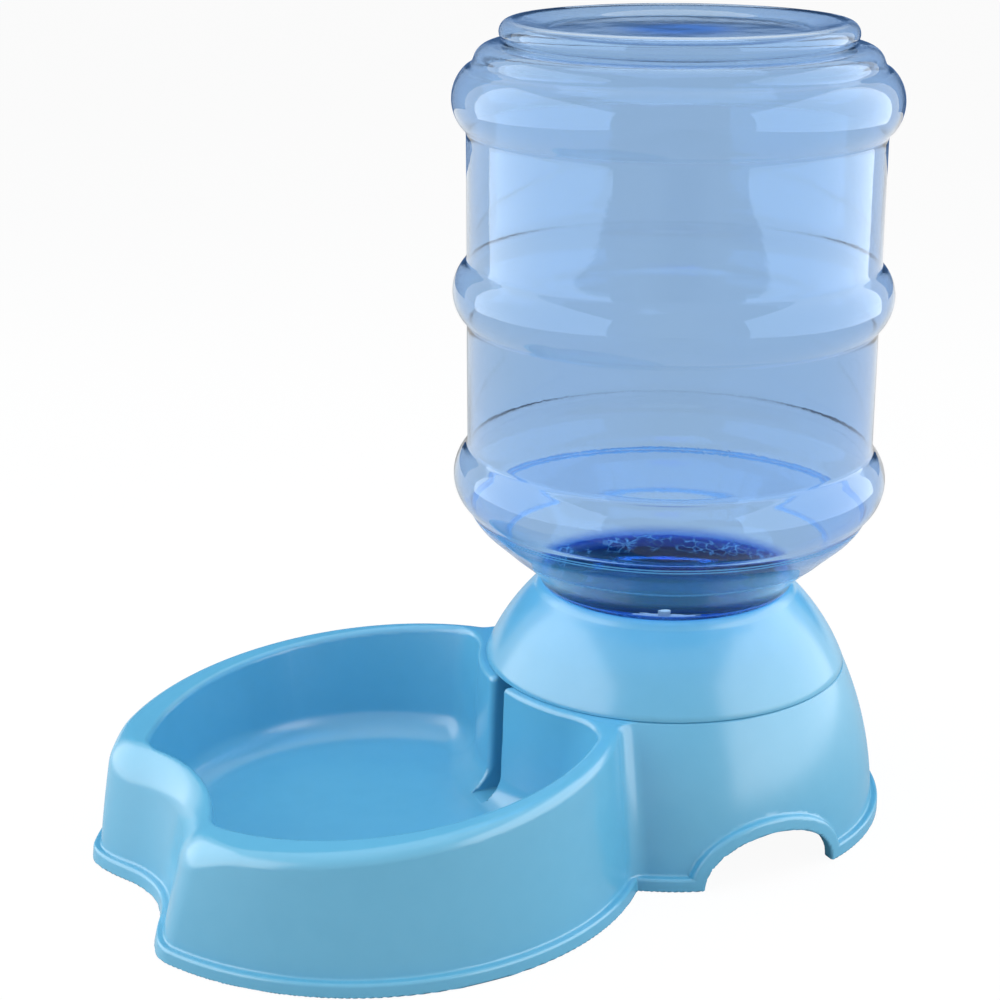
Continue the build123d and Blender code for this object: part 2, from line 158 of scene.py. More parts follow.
class Graph:
    """The node tree of a material or a world, filled by short calls."""

    def __init__(self, name: str, world: bool = False) -> None:
        """Makes an empty material, or a world, with its output.

        Args:
            name: its name.
            world: True for a world.
        """
        self.owner = (bpy.data.worlds if world else bpy.data.materials).new(name)
        self.owner.use_nodes = True
        self.tree = self.owner.node_tree
        self.tree.nodes.clear()
        output = "ShaderNodeOutputWorld" if world else "ShaderNodeOutputMaterial"
        self.output = self.tree.nodes.new(output)

    def node(
        self, kind: str, settings: dict | None = None, inputs: dict | None = None, out: Any = 0
    ) -> Value:
        """Adds a node: its settings first, then the values or links of its sockets.

        Args:
            kind: the node's type.
            settings: attributes of the node.
            inputs: socket name or number to a number, tuple or Value.
            out: name or number of the output to return.

        Returns:
            The chosen output.
        """
        made = self.tree.nodes.new(kind)
        for key, setting in (settings or {}).items():
            setattr(made, key, setting)
        for key, value in (inputs or {}).items():
            socket = made.inputs[key]
            if isinstance(value, Value):
                self.tree.links.new(value.socket, socket)
            else:
                socket.default_value = value
        return Value(self, made.outputs[out])

    def place(self) -> Value:
        """The piece's object coordinates."""
        return self.node("ShaderNodeTexCoord", out="Object")

    def parts(self, vector: Value) -> tuple[Value, Value, Value]:
        """The three parts of a vector.

        Args:
            vector: the vector to split.

        Returns:
            Its x, y and z.
        """
        split = self.node("ShaderNodeSeparateXYZ", inputs={0: vector})
        outputs = split.socket.node.outputs
        return Value(self, outputs[0]), Value(self, outputs[1]), Value(self, outputs[2])

    def noise(
        self, scale: float, detail: float = 2.0, roughness: float = 0.5, stretch: tuple = (1, 1, 1)
    ) -> Value:
        """Noise on object coordinates.

        Args:
            scale: waves per metre.
            detail: octaves.
            roughness: how much the small octaves weigh.
            stretch: the pattern's scale along x, y and z.

        Returns:
            A value about 0.5, from 0 to 1.
        """
        where = self.place()
        if stretch != (1, 1, 1):
            where = self.node("ShaderNodeMapping", inputs={"Vector": where, "Scale": stretch})
        inputs = {"Vector": where, "Scale": scale, "Detail": detail, "Roughness": roughness}
        return self.node("ShaderNodeTexNoise", inputs=inputs)

    def mix(self, share: Any, first: Any, second: Any) -> Value:
        """Mixes two colours.

        Args:
            share: how much of the second.
            first: a colour or a Value.
            second: a colour or a Value.

        Returns:
            The mixed colour.
        """
        inputs = {0: share, 6: first, 7: second}
        return self.node("ShaderNodeMix", {"data_type": "RGBA"}, inputs, out=2)

    def blend(self, share: Any, first: Value, second: Value) -> Value:
        """Mixes two shaders; the share is how much of the second."""
        return self.node("ShaderNodeMixShader", inputs={0: share, 1: first, 2: second})

    def glow(self, colour: tuple, strength: float) -> Value:
        """A shader that only gives light."""
        return self.node("ShaderNodeEmission", inputs={"Color": colour, "Strength": strength})

    def ray(self, kind: str) -> Value:
        """1 for rays of one kind, such as "Is Camera Ray", else 0."""
        return self.node("ShaderNodeLightPath", out=kind)

    def bump(
        self, height: Value, distance: float, strength: float = 1.0, normal: Value | None = None
    ) -> Value:
        """A bumped normal.

        Args:
            height: the height pattern.
            distance: metres between a height of 0 and 1.
            strength: share of the effect.
            normal: a bumped normal to build on.

        Returns:
            The normal.
        """
        inputs = {"Height": height, "Distance": distance, "Strength": strength}
        if normal is not None:
            inputs["Normal"] = normal
        return self.node("ShaderNodeBump", inputs=inputs)

    def principled(self, **inputs: Any) -> Value:
        """A Principled shader; underscores in names stand for spaces.

        Args:
            inputs: socket names and their values.

        Returns:
            The shader.
        """
        named = {key.replace("_", " "): value for key, value in inputs.items()}
        return self.node("ShaderNodeBsdfPrincipled", inputs=named)

    def finish(self, shader: Value) -> Any:
        """Links a shader to the output.

        Args:
            shader: the surface's shader.

        Returns:
            The material or the world.
        """
        self.tree.links.new(shader.socket, self.output.inputs["Surface"])
        return self.owner


def linear(red: float, green: float, blue: float) -> tuple[float, float, float, float]:
    """Turns a colour written in 0 to 255 display values into the linear one that shaders take.

    Args:
        red: display red.
        green: display green.
        blue: display blue.

    Returns:
        The linear colour with an alpha of 1.
    """
    shares = [value / 255 for value in (red, green, blue)]
    r, g, b = [s / 12.92 if s <= 0.04045 else ((s + 0.055) / 1.055) ** 2.4 for s in shares]
    return r, g, b, 1.0


# Finishes


@dataclass(frozen=True)
class MouldedPlastic:
    """Glossy injection-moulded plastic: a faint orange peel, flow clouds and fine rub marks."""

    name: str
    colour: tuple
    deep: tuple
    roughness: float
    peel: float
    specular: float = 0.5
    cloud_waves: float = 14.0
    fine_waves: float = 126.0
    rub_waves: float = 170.0
    peel_waves: float = 310.0
    slow_waves: float = 26.0
    slow_depth: float = 20.0

    def material(self) -> bpy.types.Material:
        """Builds the material."""
        graph = Graph(self.name)
        clouds = graph.noise(self.cloud_waves, 3.0, 0.55)
        fine = graph.noise(self.fine_waves)
        tone = (clouds * 0.75 + fine * 0.25).step(0.25, 0.75)
        colour = graph.mix(tone, self.deep, self.colour)
        rubs = graph.noise(self.rub_waves).step(0.5, 0.8)
        gloss = tone.span(self.roughness * 1.1, self.roughness * 0.92) + rubs * 0.02
        peel = graph.bump(graph.noise(self.peel_waves, 2.0, 0.45), self.peel * MM)
        slow = graph.noise(self.slow_waves, 1.0, 0.4)
        waves = graph.bump(slow, self.peel * self.slow_depth * MM, 1.0, peel)
        shader = graph.principled(
            Base_Color=colour,
            Roughness=gloss,
            Normal=waves,
            Specular_IOR_Level=self.specular,
        )
        return graph.finish(shader)


@dataclass(frozen=True)
class ClearPlastic:
    """Tinted clear blow-moulded plastic, deeper where the wall is thick and at grazing sight."""

    name: str
    body: tuple
    neck: tuple
    edge: tuple
    frost_and_glint_colour: tuple
    gate: tuple
    shine: tuple
    neck_low: float
    neck_high: float
    gate_r: float
    gate_z: float
    band_low: float
    band_high: float
    ripple_low: float
    ripple_high: float
    haze: float = 0.1
    line: float = 0.7
    # Share of the painted ripple highlights.
    ripple_glint: float = 0.85
    low_line: float = 0.6
    roughness: float = 0.02
    frost_roughness: float = 0.45
    index: float = 1.5
    streak_waves: float = 26.0
    streak_depth: float = 0.35
    grain_waves: float = 420.0
    grain_depth: float = 0.012
    scuff_waves: float = 150.0
    ripple_waves: float = 210.0
    break_waves: float = 120.0
    shadow: tuple = (0.82, 0.9, 0.97, 1.0)

    def material(self) -> bpy.types.Material:
        """Builds the material."""
        graph = Graph(self.name)
        x, y, z = graph.parts(graph.place())
        off = y - TOWER_Y * MM
        from_axis = (x * x + off * off).root() / MM
        level = z / MM
        high = level.step(self.gate_z - 2.0, self.gate_z)
        spot = from_axis.step(self.gate_r, self.gate_r * 0.3) * high
        low = level.step(self.neck_high, self.neck_low)
        thick = low.larger(spot)
        drift = graph.noise(9.0, 2.0, 0.5, (1.0, 1.0, 0.35))
        wall = graph.mix(drift.step(0.3, 0.7) * 0.35, self.body, self.edge)
        tint = graph.mix(spot, graph.mix(low, wall, self.neck), self.gate)
        facing = graph.node("ShaderNodeLayerWeight", inputs={"Blend": 0.35}, out="Facing")
        colour = graph.mix((facing ** 3.0) * (1 - thick), tint, self.edge)
        streaks = graph.noise(self.streak_waves, stretch=(1.0, 1.0, 0.22))
        wave = graph.bump(streaks, self.streak_depth * MM, 0.6)
        grain = graph.bump(graph.noise(self.grain_waves), self.grain_depth * MM, 1.0, wave)
        scuffs = graph.noise(self.scuff_waves, 3.0, 0.65, (1.0, 1.0, 3.0)).step(0.6, 0.85)
        glass = graph.principled(
            Base_Color=colour,
            Roughness=scuffs.span(self.roughness, self.roughness + 0.05),
            IOR=self.index,
            Specular_Tint=self.shine,
            Transmission_Weight=1.0,
            Normal=grain,
        )
        frost_and_glint_shader = graph.principled(
            Base_Color=self.frost_and_glint_colour, Roughness=self.frost_roughness, IOR=self.index
        )
        # The frosted share holds the haze and the rings, and the painted ripple highlights.
        cloudy_with_glints = graph.blend(self.clouding_and_glints(graph, level), glass, frost_and_glint_shader)
        clear = graph.node("ShaderNodeBsdfTransparent", inputs={"Color": self.shadow})
        return graph.finish(graph.blend(graph.ray("Is Shadow Ray"), cloudy_with_glints, clear))

    def clouding_and_glints(self, graph: Graph, level: Value) -> Value:
        """Share of the wall that scatters light instead of passing it.

        The cone's band is faintly hazy between its two raised rings, the rings are paler lines,
        and fine curved ripples at the top of the neck are painted highlights: pale frosted lines
        where the blown wall's ripples would catch the light.

        Args:
            graph: the graph to build in.
            level: height in millimetres.

        Returns:
            The share, from 0 to 1.
        """

        def between(rise: tuple, fall: tuple) -> Value:
            """1 between two heights, with soft ends."""
            return level.step(*rise) * level.step(*fall)

        low, high = self.band_low, self.band_high
        band = between((low, low + 0.6), (high, high - 0.6))
        low_line = between((low - 0.6, low), (low + 1.4, low + 0.2)) * self.low_line
        high_line = between((high - 0.9, high - 0.6), (high, high - 0.3))
        second = between((high + 0.2, high + 0.5), (high + 1.1, high + 0.8))
        lines = low_line.larger(high_line).larger(second)
        stretch = {"Vector": graph.place(), "Scale": (1.0, 1.0, 1.8)}
        bent = graph.node("ShaderNodeMapping", inputs=stretch)
        cells = {"Vector": bent, "Scale": self.ripple_waves, "Randomness": 0.9}
        edge = graph.node("ShaderNodeTexVoronoi", {"feature": "DISTANCE_TO_EDGE"}, cells)
        broken = graph.noise(self.break_waves).step(0.42, 0.6)
        start, end = self.ripple_low, self.ripple_high
        zone = between((start, start + 3.0), (end, end - 1.5))
        # Painted highlights: pale frosted ripple lines that stand in for glints at the top of the
        # neck.
        ripple_glints = edge.step(0.075, 0.02) * broken * zone
        hazy = (band * self.haze).larger(lines * self.line)
        return hazy.larger(ripple_glints * self.ripple_glint)


@dataclass(frozen=True)
class SealRubber:
    """Matt moulded rubber with a dusty bloom."""

    name: str
    colour: tuple
    bloom: tuple

    def material(self) -> bpy.types.Material:
        """Builds the material."""
        graph = Graph(self.name)
        dust = graph.noise(160.0, 4.0, 0.6).step(0.35, 0.75)
        colour = graph.mix(dust, self.colour, self.bloom)
        pores = graph.bump(graph.noise(900.0), 0.03 * MM)
        rough = dust.span(0.62, 0.8)
        return graph.finish(graph.principled(Base_Color=colour, Roughness=rough, Normal=pores))


@dataclass(frozen=True)
class DrawnSteel:
    """Bright stainless wire with fine draw marks."""

    name: str
    colour: tuple

    def material(self) -> bpy.types.Material:
        """Builds the material."""
        graph = Graph(self.name)
        marks = graph.noise(700.0, 3.0, 0.6, (1.0, 1.0, 6.0))
        darker = tuple(0.72 * part for part in self.colour[:3]) + (1.0,)
        colour = graph.mix(marks.step(0.3, 0.7), darker, self.colour)
        drawn = graph.bump(marks, 0.01 * MM)
        rough = marks.span(0.2, 0.36)
        shader = graph.principled(Base_Color=colour, Metallic=1.0, Roughness=rough, Normal=drawn)
        return graph.finish(shader)


BLUE_PLASTIC = MouldedPlastic(
    "blue_plastic",
    colour=linear(99, 181, 217),
    deep=linear(93, 175, 212),
    roughness=0.22,
    peel=0.004,
    specular=1.0,
)
CLEAR_BOTTLE = ClearPlastic(
    "clear_bottle",
    body=linear(191, 212, 232),
    neck=linear(24, 106, 210),
    edge=linear(180, 207, 242),
    # Colour of the frosted haze and rings, and of the painted ripple highlights.
    frost_and_glint_colour=linear(96, 172, 226),
    gate=linear(90, 150, 255),
    shine=(0.42, 0.6, 0.86, 1.0),
    neck_low=90.0,
    neck_high=96.0,
    gate_r=30.0,
    gate_z=286.0,
    band_low=106.0,
    band_high=119.5,
    ripple_low=82.0,
    ripple_high=92.0,
)
CAP_PLASTIC = MouldedPlastic(
    "cap_plastic",
    colour=linear(28, 92, 186),
    deep=linear(20, 78, 168),
    roughness=0.3,
    peel=0.012,
)
WHITE_PLASTIC = MouldedPlastic(
    "white_plastic",
    colour=linear(232, 234, 232),
    deep=linear(220, 223, 222),
    roughness=0.36,
    peel=0.01,
)
SEAL_RUBBER = SealRubber("seal_rubber", colour=linear(34, 36, 38), bloom=linear(62, 64, 66))
SPRING_STEEL = DrawnSteel("spring_steel", colour=linear(206, 208, 210))


# Meshes


def new_mesh(
    name: str, points: Array, faces: Sequence[Array], normals: Callable | None = None
) -> bpy.types.Object:
    """Puts numpy points and faces into a mesh object at the origin.

    Args:
        name: the piece's name.
        points: rows of x, y and z in millimetres from the tower's axis.
        faces: arrays of vertex numbers, one array for each face size.
        normals: gives a unit normal for each of the points, where the surface knows its own.

    Returns:
        The object, linked to the scene.
    """
    mesh = bpy.data.meshes.new(name)
    sizes = np.concatenate([np.full(len(group), group.shape[1]) for group in faces])
    corners = np.concatenate([group.ravel() for group in faces]).astype(np.int32)
    placed = (points + (0.0, TOWER_Y, 0.0)) * MM
    mesh.vertices.add(len(points))
    mesh.vertices.foreach_set("co", placed.astype(np.float32).ravel())
    mesh.loops.add(len(corners))
    mesh.loops.foreach_set("vertex_index", corners)
    mesh.polygons.add(len(sizes))
    starts = np.concatenate([[0], np.cumsum(sizes)[:-1]]).astype(np.int32)
    mesh.polygons.foreach_set("loop_start", starts)
    mesh.update(calc_edges=True)
    mesh.validate()
    mesh.shade_smooth()
    if normals is not None:
        mesh.normals_split_custom_set_from_vertices(normals(points).astype(np.float32))
    made = bpy.data.objects.new(name, mesh)
    bpy.context.scene.collection.objects.link(made)
    return made


def lattice(rows: int, columns: int, join_rows: bool = False, join_columns: bool = False) -> Array:
    """Quads over points that are laid out row by row.

    Args:
        rows: number of rows.
        columns: points in each row.
        join_rows: True where the last row joins the first.
        join_columns: True where each row's last point joins its first.

    Returns:
        Rows of four point numbers: along the rows first, then the columns.
    """
    i = np.arange(rows if join_rows else rows - 1)[:, None]
    j = np.arange(columns if join_columns else columns - 1)[None, :]
    low, high = i * columns, (i + 1) % rows * columns
    after = (j + 1) % columns
    return np.stack([low + j, high + j, high + after, low + after], 2).reshape(-1, 4)


def circle(a: Array, b: Array, c: Array) -> tuple[Array, float]:
    """Centre and radius of the circle through three points: where their bisectors meet."""
    lean = np.array([b - a, c - b])
    centre = np.linalg.solve(lean, 0.5 * np.array([b @ b - a @ a, c @ c - b @ b]))
    return centre, float(np.linalg.norm(a - centre))


def arc(
    first: Sequence[float], middle: Sequence[float], last: Sequence[float], step: float = 0.25
) -> Array:
    """Points along the circle through three points: centre plus radius times cosine and sine.

    Args:
        first: where the arc starts, as (radius, height).
        middle: a point on the arc.
        last: where it ends.
        step: millimetres between points.

    Returns:
        Rows of radius and height, both ends among them.
    """
    rows = [np.array(point, float) for point in (first, middle, last)]
    centre, radius = circle(*rows)
    angles = [np.arctan2(*(point - centre)[::-1]) for point in rows]
    turn = (angles[2] - angles[0]) % TAU
    if (angles[1] - angles[0]) % TAU > turn:
        turn -= TAU
    count = max(3, int(abs(turn) * radius / step) + 1)
    sweep = angles[0] + turn * np.linspace(0, 1, count)
    return centre + radius * np.stack([np.cos(sweep), np.sin(sweep)], 1)


def joined(*runs: Any, step: float = 0.25) -> Array:
    """Joins points and arcs into one polyline with points every step along it.

    Args:
        runs: arrays of rows or single (radius, height) points.
        step: millimetres between points.

    Returns:
        The evenly spaced polyline.
    """
    rows = np.concatenate([np.atleast_2d(np.array(run, float)) for run in runs])
    length = np.concatenate([[0], np.cumsum(np.linalg.norm(np.diff(rows, axis=0), axis=1))])
    keep = np.concatenate([[True], np.diff(length) > 1e-9])
    rows, length = rows[keep], length[keep]
    even = np.linspace(0, length[-1], max(2, int(length[-1] / step) + 1))
    return np.stack([np.interp(even, length, rows[:, i]) for i in (0, 1)], 1)


def softened(rows: Array, reach: float, step: float = 0.25) -> Array:
    """Rounds a polyline's corners: each point becomes the Gaussian mean of those within reach.

    Args:
        rows: evenly spaced points.
        reach: standard deviation in millimetres.
        step: spacing of the points.

    Returns:
        The rounded polyline with its ends kept.
    """
    half = int(3 * reach / step) + 1
    weights = np.exp(-0.5 * (np.arange(-half, half + 1) * step / reach) ** 2)
    weights /= weights.sum()
    padded = np.concatenate(
        [2 * rows[0] - rows[half:0:-1], rows, 2 * rows[-1] - rows[-2 : -half - 2 : -1]]
    )
    return np.stack([np.convolve(padded[:, i], weights, "valid") for i in (0, 1)], 1)


def thinned(rows: Array, longest: float, turn: float) -> Array:
    """Keeps points where the line bends: a new one after each longest millimetres or turn degrees.

    Args:
        rows: a dense polyline.
        longest: millimetres between points on a straight run.
        turn: degrees of bending between points.

    Returns:
        The thinned polyline.
    """
    steps = np.diff(rows, axis=0)
    heading = np.unwrap(np.arctan2(steps[:, 1], steps[:, 0]))
    bend = np.abs(np.diff(heading, prepend=heading[0])) / np.radians(turn)
    cost = np.concatenate([[0], np.cumsum(np.linalg.norm(steps, axis=1) / longest + bend)])
    even = np.linspace(0, cost[-1], int(cost[-1]) + 2)
    return np.stack([np.interp(even, cost, rows[:, i]) for i in (0, 1)], 1)


def turned(
    name: str, profile: Array, count: int, swell: Callable | None = None, loop: bool = False
) -> bpy.types.Object:
    """Surface of revolution: (r, z) goes to (r cos t, r sin t, z), with t in count steps.

    The profile runs with the plastic on its left, seen in the (radius, height) plane. A point
    on the axis becomes one vertex with a fan of triangles, and the last column joins the first.

    Args:
        name: the piece's name.
        profile: rows of radius and height.
        count: columns round the axis.
        swell: gives millimetres to add to the radius from radius, angle and height.
        loop: True where the profile's last point joins its first.

    Returns:
        The object.
    """
    angle = np.arange(count) * TAU / count
    first_pole = not loop and profile[0, 0] < 1e-6
    last_pole = not loop and profile[-1, 0] < 1e-6
    rings = profile[int(first_pole) : len(profile) - int(last_pole)]
    radius, height = np.broadcast_arrays(rings[:, :1], rings[:, 1:])
    radius = np.repeat(radius, count, 1)
    height = np.repeat(height, count, 1)
    if swell is not None:
        radius = radius + swell(radius, angle[None, :], height)
    points = np.stack([radius * np.cos(angle), radius * np.sin(angle), height], 2).reshape(-1, 3)
    rows = len(rings)
    faces = [lattice(rows, count, join_rows=loop, join_columns=True)[:, [0, 3, 2, 1]]]
    column = np.arange(count)
    ends = []
    if first_pole:
        ends.append((profile[0, 1], 0, False))
    if last_pole:
        ends.append((profile[-1, 1], (rows - 1) * count, True))
    for level, start, upper in ends:
        pole = len(points)
        points = np.concatenate([points, [[0.0, 0.0, level]]])
        ring = start + column
        after = start + (column + 1) % count
        pair = (ring, after) if upper else (after, ring)
        faces.append(np.stack([pair[0], pair[1], np.full(count, pole)], 1))
    return new_mesh(name, points, faces)


def smooth_by_angle(piece: bpy.types.Object, degrees: float) -> None:
    """Marks the edges sharper than an angle, so that only those shade as edges.

    Args:
        piece: the object.
        degrees: the least angle of a sharp edge.
    """
    piece.data.set_sharp_from_angle(angle=np.radians(degrees))


# Implicit surfaces: negative inside, near to millimetres outside


def round_cut(first: Array, second: Array, radius: Any) -> Array:
    """Overlap of two solids whose shared edge is rounded by a circle of the radius.

    The larger of the two distances, but within the radius of both faces the distance from
    the circle that touches them.
    """
    corner = np.hypot(np.maximum(first + radius, 0), np.maximum(second + radius, 0))
    return np.minimum(-radius, np.maximum(first, second)) + corner


def round_join(first: Array, second: Array, radius: Any) -> Array:
    """Union of two solids whose inner corner is filled by a circle of the radius.

    The smaller of the two distances, but within the radius of both faces the distance from
    the circle that touches them.
    """
    corner = np.hypot(np.maximum(radius - first, 0), np.maximum(radius - second, 0))
    return np.maximum(radius, np.minimum(first, second)) - corner


def surface_net(solid: Callable, axes: Sequence[Array]) -> tuple[Array, Array]:
    """Mesh of the zero surface of a function on a grid: one vertex in each crossed cell.

    A cell's vertex is the mean of the points where the function changes sign on its edges, and
    each crossed edge gets a quad from the four cells around it, turned outwards.

    Args:
        solid: takes arrays x, y and z and gives a value that is negative inside.
        axes: the grid's planes along x, y and z.

    Returns:
        The vertices and the quads.
    """
    x, y, z = np.meshgrid(*axes, indexing="ij", sparse=True)
    values = solid(x, y, z).astype(np.float32)
    shape = np.array(values.shape)
    cells = shape - 1
    spots, owners, quads = [], [], []
    for axis in range(3):
        u, v = (axis + 1) % 3, (axis + 2) % 3
        ahead = [slice(None)] * 3
        behind = [slice(None)] * 3
        ahead[axis] = slice(1, None)
        behind[axis] = slice(None, -1)
        first, second = values[tuple(behind)], values[tuple(ahead)]
        index = np.argwhere((first < 0) != (second < 0))
        inner = np.all((index[:, [u, v]] > 0) & (index[:, [u, v]] < cells[[u, v]]), axis=1)
        index = index[inner]
        picked = tuple(index.T)
        share = first[picked] / (first[picked] - second[picked])
        spot = np.stack([axes[k][index[:, k]] for k in range(3)], 1)
        gap = axes[axis][index[:, axis] + 1] - axes[axis][index[:, axis]]
        spot[:, axis] += share * gap
        around = []
        for shift_u, shift_v in ((-1, -1), (0, -1), (0, 0), (-1, 0)):
            cell = index.copy()
            cell[:, u] += shift_u
            cell[:, v] += shift_v
            around.append(np.ravel_multi_index(tuple(cell.T), tuple(cells)))
            spots.append(spot)
            owners.append(around[-1])
        quad = np.stack(around, 1)
        inward = first[picked] >= 0
        quad[inward] = quad[inward][:, ::-1]
        quads.append(quad)
    owner, spot, quad = np.concatenate(owners), np.concatenate(spots), np.concatenate(quads)
    used, place = np.unique(owner, return_inverse=True)
    number = np.bincount(place)
    points = np.stack([np.bincount(place, spot[:, k]) / number for k in range(3)], 1)
    return points, np.searchsorted(used, quad)


def slope(solid: Callable, points: Array, reach: float = 0.02) -> Array:
    """Gradient of a function at points, from differences of values a little to each side."""
    parts = []
    for axis in range(3):
        shift = np.zeros(3)
        shift[axis] = reach
        ahead, behind = points + shift, points - shift
        parts.append((solid(*ahead.T) - solid(*behind.T)) / (2 * reach))
    return np.stack(parts, 1)


def settled(solid: Callable, points: Array, rounds: int, limit: float = 0.6) -> Array:
    """Moves points onto the zero surface: each round steps by value over slope, along the slope.

    Args:
        solid: the function.
        points: rows near its surface.
        rounds: Newton steps.
        limit: the longest step in millimetres.

    Returns:
        The moved points.
    """
    for _ in range(rounds):
        steep = slope(solid, points)
        size = np.maximum((steep**2).sum(1), 0.05)
        move = -(solid(*points.T) / size)[:, None] * steep
        length = np.linalg.norm(move, axis=1, keepdims=True)
        points = points + move * np.minimum(1, limit / np.maximum(length, 1e-9))
    return points


# The waterer


@dataclass
class Base:
    """The blue moulding: drinking bowl, tower, foot flange, arches and gate, as one solid.

    Each wall is a distance function of the point, and they are joined and cut with rounded
    corners, the way the mould's cutters left them.
    """

    bowl_y: float = -125.8
    foot_r: float = 100.6
    mid_r: float = 98.2
    mid_z: float = 27.0
    top_r: float = 92.6
    top_z: float = 66.0
    seam_z: float = 59.6
    deck_y: float = -55.0
    deck_slope: float = 0.1007
    deck_round: float = 4.2
    scoop_roll: float = 11.0
    scoop_reach: float = 26.0
    waist_round: float = 7.0
    seam_round: float = 0.8
    wall: float = 2.4
    lip_out: float = 2.8
    lip_h: float = 5.2
    lip_round: float = 1.1
    tower_rings: tuple = ((82.8, 0.0), (78.6, 34.0), (69.4, 59.6))
    scoop_near: float = 206.4
    scoop_near_rise: float = -0.1867
    scoop_r: float = 43.2
    scoop_r_rise: float = 0.5333
    horn_round: float = 11.0
    floor_z: float = 13.0
    floor_round: float = 11.0
    cavity_y: float = -122.9
    cavity_h: float = 39.0
    cavity_r: float = 79.0
    cavity_lean: float = 5.6
    partition_r: float = 72.6
    partition_lean: float = 1.6
    front_y: float = 190.5
    front_lean: float = 4.0
    front_r: float = 74.7
    corner_round: float = 14.0
    horn_in_round: float = 2.6
    horn_in_lean: float = 10.0
    rim_round: float = 2.0
    well_r: float = 61.5
    gate_half: float = 5.0
    gate_y: float = -67.0
    gate_reach: float = 16.0
    gate_step: float = 0.5
    jamb_right: float = 1.2
    jamb_left: float = 2.6
    jamb_z: float = 14.0
    boss_r: float = 9.3
    boss_half: float = 1.7
    boss_z: float = 15.0
    boss_rise: float = 2.0
    arch_half: float = 27.5
    arch_h: float = 18.9
    cell: float = 1.05
    fine_cell: float = 0.6
    most_triangles: int = 188000

    def skirt(self, x: Array, y: Array, z: Array) -> tuple[Array, Array]:
        """Walls of the bowl and of the tower, without a top: radius less the wall's own radius.

        The bowl's radius is a parabola in height, dented in front by a slanting cone, and the
        tower's wall is the arc through three measured rings.
        """
        share = z / self.top_z
        middle = self.mid_z / self.top_z
        lean = self.top_r - self.foot_r
        bend = (self.mid_r - self.foot_r - lean * middle) / (middle * (middle - 1))
        radius = self.foot_r + lean * share + bend * share * (share - 1)
        round_wall = np.hypot(x, y - self.bowl_y) - radius
        bowl = round_cut(round_wall, self.dent(x, y, z), self.horn_round)
        centre, sweep = circle(*np.array(self.tower_rings))
        tower = np.hypot(np.hypot(x, y) - centre[0], z - centre[1]) - sweep
        return bowl, tower

    def dent(self, x: Array, y: Array, z: Array) -> Array:
        """The scoop: radius of a slanting cone less the distance from its axis in front."""
        near = self.scoop_near + self.scoop_near_rise * z
        scoop_r = self.scoop_r + self.scoop_r_rise * z
        return scoop_r - np.hypot(x, y + near + scoop_r)

    def outside(self, x: Array, y: Array, z: Array) -> Array:
        """The moulding's outside, without the foot flange: walls joined by a wide inner radius."""
        bowl, tower = self.skirt(x, y, z)
        deck = z - self.seam_z - self.deck_slope * (y - self.deck_y)
        by_scoop = np.clip(1 + self.dent(x, y, z) / self.scoop_reach, 0, 1)
        by_scoop = by_scoop * by_scoop * (3 - 2 * by_scoop)
        rounding = self.deck_round + (self.scoop_roll - self.deck_round) * by_scoop
        bowl = round_cut(bowl, deck, rounding)
        both = round_join(bowl, tower, self.waist_round)
        return round_cut(both, z - self.seam_z, self.seam_round)

    def spaces(self, x: Array, y: Array, z: Array) -> Array:
        """The drinking bowl, the tower's well and the gate between them."""
        from_axis = np.hypot(x, y)
        share = np.clip((z - self.floor_z) / self.cavity_h, 0.0, 1.4)
        wall = np.hypot(x, y - self.cavity_y) - (self.cavity_r + self.cavity_lean * share)
        tower_side = self.partition_r + self.partition_lean * (1 - share) - from_axis
        front = self.front_y - self.front_lean * (1 - share)
        front_wall = self.front_r - np.hypot(x, y + front + self.front_r)
        plan = round_cut(wall, tower_side, self.corner_round)
        horn = self.horn_in_round + self.horn_in_lean * (1 - np.minimum(share, 1.0))
        plan = round_cut(plan, front_wall, horn)
        bowl = round_cut(plan, self.floor_z - z, self.floor_round)
        slot = np.maximum(np.abs(x) - self.gate_half, np.abs(y - self.gate_y) - self.gate_reach)
        gate = np.maximum(slot, self.floor_z + self.gate_step - z)
        jamb = np.where(x > 0, self.jamb_right, self.jamb_left)
        jamb = jamb * np.clip((z - self.jamb_z) / 8.0, 0.02, 1.0)
        well = np.maximum(from_axis - self.well_r, self.floor_z - z)
        return np.minimum(round_join(bowl, gate, jamb), well)

    def arch(self, y: Array, z: Array) -> Array:
        """Near distance from the elliptical arch that crosses the tower's skirt along X."""
        reach = np.hypot(y / self.arch_half, z / self.arch_h)
        steep = np.hypot(y / self.arch_half**2, z / self.arch_h**2)
        return reach * (reach - 1) / np.maximum(steep, 1e-6)

    def solid(self, x: Array, y: Array, z: Array) -> Array:
        """The whole moulding: outside and flange, less spaces, underside and arches."""
        outside = self.outside(x, y, z)
        spaces = self.spaces(x, y, z)
        bowl, tower = self.skirt(x, y, z)
        arch = self.arch(y, z)
        from_axis = np.hypot(x, y)
        skirts = np.minimum(bowl, tower) - self.lip_out
        foot = round_cut(skirts, z - self.lip_h, self.lip_round)
        rim = round_cut(tower - self.lip_out, arch - self.lip_h, self.lip_round)
        flanged = round_join(outside, np.minimum(foot, rim), 0.7)
        body = round_cut(flanged, -spaces, self.rim_round)
        hollow = np.maximum(outside + self.wall, self.wall - spaces)
        ring = np.abs(from_axis - self.boss_r) - self.boss_half
        boss = np.maximum(ring, np.abs(z - self.boss_z) - self.boss_rise)
        body = np.minimum(round_cut(body, -hollow, 0.4), boss)
        cut = np.maximum(arch, self.well_r + self.wall - from_axis)
        return round_cut(round_cut(body, -cut, 0.7), -z, 0.4)

